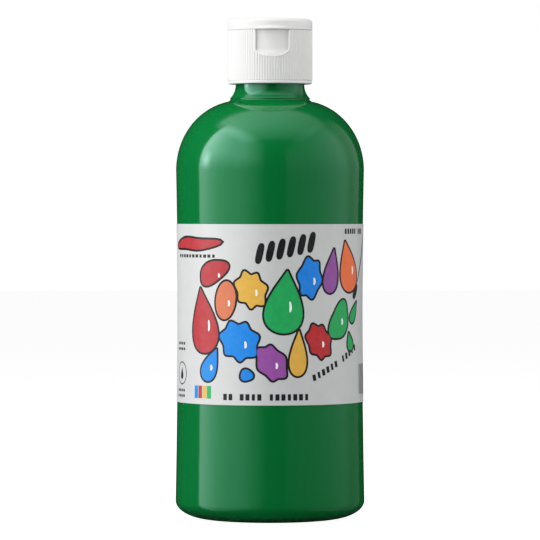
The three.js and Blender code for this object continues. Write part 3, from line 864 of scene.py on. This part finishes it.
# A fine raised rim follows the notch's edge.
rim_line = bpy.data.curves.new("notch_rim", "CURVE")
rim_line.dimensions = "3D"
rim_line.bevel_depth = NOTCH_RIM_R
rim_line.bevel_resolution = 2
rim_line.use_fill_caps = True
rim_end = PARTING_Z - 0.0004
rim_points = [(NOTCH_HALF_WIDTH, rim_end), *u_points[1:-1], (-NOTCH_HALF_WIDTH, rim_end)]
spline = rim_line.splines.new("POLY")
spline.points.add(len(rim_points) - 1)
rim_r = CAP_R - RIB_DEPTH * 0.6
rim_out = NOTCH_RIM_R * 0.5  # how far outside the notch's edge the rim runs
for point, (x, z) in zip(spline.points, rim_points):
    x *= 1 + rim_out / NOTCH_HALF_WIDTH
    z -= rim_out if z < PARTING_Z - 0.007 else 0
    point.co = (x, -sqrt(rim_r ** 2 - x ** 2), z, 1)
rim = bpy.data.objects.new("notch_rim", rim_line)
bpy.context.scene.collection.objects.link(rim)
bpy.ops.object.select_all(action="DESELECT")
rim.select_set(True)
bpy.context.view_layer.objects.active = rim
bpy.ops.object.convert(target="MESH")
rim = bpy.context.object
combine(cap, rim, "UNION")

# The pad for the hinge, and the inner thread, cut off where it is rooted in the skirt.
HINGE_Y = (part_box("hinge_strap_left")[0].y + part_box("hinge_strap_left")[1].y) / 2
STRAP_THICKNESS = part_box("hinge_strap_left")[1].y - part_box("hinge_strap_left")[0].y
LUG_HALF_WIDTH, LUG_HEIGHT, LUG_DEPTH = 0.006, 0.0024, 0.0013
LUG_GAP = 0.00005
LUG_FACE = HINGE_Y - STRAP_THICKNESS / 2 - LUG_GAP


def lug(bottom, height):
    """The pad at the back that a hinge strap is moulded to."""
    bpy.ops.mesh.primitive_cube_add(size=1, location=(0, LUG_FACE - LUG_DEPTH / 2, bottom + height / 2),
                                    scale=(2 * LUG_HALF_WIDTH, LUG_DEPTH, height))
    block = bpy.context.object
    bpy.ops.object.transform_apply()
    edit(block)
    bpy.ops.mesh.select_all(action="SELECT")
    bpy.ops.mesh.bevel(offset=0.0003, segments=3, affect="EDGES")
    done()
    return block


combine(cap, lug(PARTING_Z - LUG_HEIGHT, LUG_HEIGHT - LUG_GAP), "UNION")
inner_thread = thread_bead(SKIRT_BORE_R - THREAD_STAND, thread_bottom - THREAD_LEAD / 2, 0)
edit(inner_thread)
keep_r = SKIRT_BORE_R + THREAD_ROOT
mesh = bmesh.from_edit_mesh(inner_thread.data)
for vertex in mesh.verts:
    reach = hypot(vertex.co.x, vertex.co.y)
    if reach > keep_r:
        vertex.co.xy = vertex.co.xy * keep_r / reach
bmesh.update_edit_mesh(inner_thread.data)
done()
combine(cap, inner_thread, "UNION")
smooth(cap, 55)

WHITE = (0.80, 0.797, 0.787)
WHITE_SHADE = (0.77, 0.77, 0.763)

white_plastic, tree, shader = finish("white_polypropylene", IOR=1.49, Subsurface_Weight=0.3,
                                      Subsurface_Radius=(1.0, 0.95, 0.9), Subsurface_Scale=0.002)
tree.links.new(tinted(tree, placed(tree, uneven, Scale=120.0, Middle=0.5, Swing=0.6), WHITE, WHITE_SHADE),
               shader.inputs["Base Color"])
rubbed = placed(tree, scuffs, Scale=420.0, Amount=0.12)
tree.links.new(total(tree, placed(tree, uneven, Scale=260.0, Middle=0.40, Swing=0.06), rubbed),
               shader.inputs["Roughness"])
relief(tree, shader, (placed(tree, uneven, Scale=140.0, Middle=0.0, Swing=1.0), 0.00002),
       (placed(tree, uneven, Scale=4200.0, Middle=0.0, Swing=1.0), 0.000003))


def moulded_white(piece):
    """Finishes a piece of the closure."""
    coat(piece, white_plastic)


moulded_white(cap)
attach(cap, "cap")
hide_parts("cap_body")


# ---------- The flip lid ----------
# The same white moulding: a shallow round lid with an eased top edge, a plug that closes the dispensing hole,
# and a thumb lip that stands 0.6 mm proud over the notch. It snaps down on to the cap.

LID_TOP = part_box("flip_lid")[1].z - SNUG
LID_WALL, LID_ROOF, LID_EDGE_R = 0.0014, 0.0012, 0.0014
PARTING_GAP = 0.0001
PLUG_R, PLUG_REACH, PLUG_LEAD_IN = 0.00295, 0.0011, 0.0004
LIP_R, LIP_REACH, LIP_EDGE, LIP_HEIGHT = 0.012, 0.0006, 0.0006, 0.0013
LIP_SLOPE = 0.75  # share of the reach that is left at the top of the lip's upright edge

lid_bottom = PARTING_Z + PARTING_GAP
lid_inner_r = CAP_R - LID_WALL
roof = LID_TOP - LID_ROOF
lid = lathe("flip_lid_shell", [
    (0, LID_TOP - 0.0001), (0.006, LID_TOP - 0.00006), (0.011, LID_TOP - 0.00002),
    *arc((CAP_R - LID_EDGE_R, LID_TOP - LID_EDGE_R), LID_EDGE_R, LID_EDGE_R, 90, 0, 10),
    (CAP_R, lid_bottom + LIP_HEIGHT + EASE), (CAP_R, lid_bottom + LIP_HEIGHT),
    (CAP_R, lid_bottom + LIP_EDGE + EASE), (CAP_R, lid_bottom + LIP_EDGE - EASE),
    (CAP_R, lid_bottom + EASE), (CAP_R - EASE, lid_bottom),
    (lid_inner_r + EASE, lid_bottom), (lid_inner_r, lid_bottom + EASE),
    (lid_inner_r, roof - 2 * EASE), (lid_inner_r - 2 * EASE, roof),
    (PLUG_R + 2 * EASE, roof), (PLUG_R, roof - 2 * EASE), (PLUG_R, PARTING_Z - PLUG_REACH + PLUG_LEAD_IN),
    (PLUG_R - PLUG_LEAD_IN, PARTING_Z - PLUG_REACH), (0, PARTING_Z - PLUG_REACH),
], ROUND)

# The lip's front is part of a smaller circle, set forward. Below the slope on its top it is upright.
lip_back = CAP_R + LIP_REACH - LIP_R
lip_meets = acos((lip_back ** 2 + CAP_R ** 2 - LIP_R ** 2) / (2 * lip_back * CAP_R))
edit(lid)
mesh = bmesh.from_edit_mesh(lid.data)
for vertex in mesh.verts:
    x, y, z = vertex.co
    reach, bearing = hypot(x, y), atan2(x, -y)
    if reach > CAP_R - 1.5 * EASE and z < lid_bottom + LIP_EDGE + 1.5 * EASE and abs(bearing) < lip_meets:
        front = lip_back * cos(bearing) + sqrt(LIP_R ** 2 - (lip_back * sin(bearing)) ** 2)
        push = max(front - CAP_R, 0) * (LIP_SLOPE if z > lid_bottom + LIP_EDGE else 1)
        vertex.co.xy = vertex.co.xy * (reach + push) / reach
bmesh.update_edit_mesh(lid.data)
done()
combine(lid, lug(lid_bottom + LUG_GAP, LUG_HEIGHT), "UNION")
smooth(lid, 35)
moulded_white(lid)
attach(lid, "lid")
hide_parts("flip_lid")


# ---------- The living hinge ----------
# Two flat straps of the same moulding join the cap's pad to the lid's. Each is thinned across its middle,
# where it folds.

FOLD_THINNING = 0.6
STRAP_ROWS = 24

low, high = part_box("hinge_strap_left")
middle = (low + high) / 2
bpy.ops.mesh.primitive_cube_add(size=1, location=middle, scale=high - low)
left_strap = bpy.context.object
bpy.ops.object.transform_apply()
edit(left_strap)
bpy.ops.mesh.select_all(action="SELECT")
bpy.ops.mesh.bevel(offset=0.00006, segments=2, affect="EDGES")
for i in range(1, STRAP_ROWS):
    bpy.ops.mesh.select_all(action="SELECT")
    bpy.ops.mesh.bisect(plane_co=(0, 0, low.z + (high.z - low.z) * i / STRAP_ROWS), plane_no=(0, 0, 1))
for i in range(9, 16):
    fold = low.z + (high.z - low.z) * i / STRAP_ROWS
    thinned = 1 - (1 - FOLD_THINNING) * cos((i - STRAP_ROWS / 2) / 4 * pi / 2)
    pick(left_strap, lambda co: abs(co.z - fold) < 1e-5)
    bpy.ops.transform.resize(value=(1, thinned, 1), center_override=(middle.x, HINGE_Y, fold))
done()

right_strap = left_strap.copy()
right_strap.data = left_strap.data.copy()
bpy.context.scene.collection.objects.link(right_strap)
edit(right_strap)
bpy.ops.mesh.select_all(action="SELECT")
bpy.ops.transform.translate(value=(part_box("hinge_strap_right")[0].x - low.x, 0, 0))
done()

for strap, side in ((left_strap, "left"), (right_strap, "right")):
    strap.name = strap.data.name = "living_hinge_" + side
    smooth(strap, 40)
    moulded_white(strap)
    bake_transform(strap)
    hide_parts("hinge_strap_" + side)


# ---------- The sealing ring ----------
# A die-cut washer of closed-cell polyethylene foam. It is pressed between the mouth of the bottle and the
# underside of the cap's deck, and comes away with the cap.

SEAL_INNER, SEAL_OUTER = 0.0096, 0.0132
seal_low, seal_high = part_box("seal_ring")
SEAL_EDGE = 0.00012

seal = lathe("foam_seal", [
    (SEAL_INNER, seal_low.z + SEAL_EDGE), (SEAL_INNER + SEAL_EDGE, seal_low.z),
    (SEAL_OUTER - SEAL_EDGE, seal_low.z), (SEAL_OUTER, seal_low.z + SEAL_EDGE),
    (SEAL_OUTER, seal_high.z - SEAL_EDGE), (SEAL_OUTER - SEAL_EDGE, seal_high.z),
    (SEAL_INNER + SEAL_EDGE, seal_high.z), (SEAL_INNER, seal_high.z - SEAL_EDGE),
    (SEAL_INNER, seal_low.z + SEAL_EDGE)], 120)
smooth(seal, 50)

# Painted shade: the foam is coloured darker towards the middle of each cell, where the bump sinks it into a
# pit.
FOAM = (0.80, 0.785, 0.74)
FOAM_PIT_SHADE = (0.66, 0.64, 0.59)

foam, tree, shader = finish("seal_foam", IOR=1.45)
cells = node(tree, "ShaderNodeTexVoronoi", {"Vector": tree.nodes["Place"].outputs["Object"], "Scale": 2600.0})
tree.links.new(tinted(tree, cells.outputs["Distance"], FOAM_PIT_SHADE, FOAM), shader.inputs["Base Color"])
tree.links.new(placed(tree, uneven, Scale=400.0, Middle=0.82, Swing=0.08), shader.inputs["Roughness"])
relief(tree, shader, (cells.outputs["Distance"], 0.00004))
coat(seal, foam)
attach(seal, "seal")
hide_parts("seal_ring")
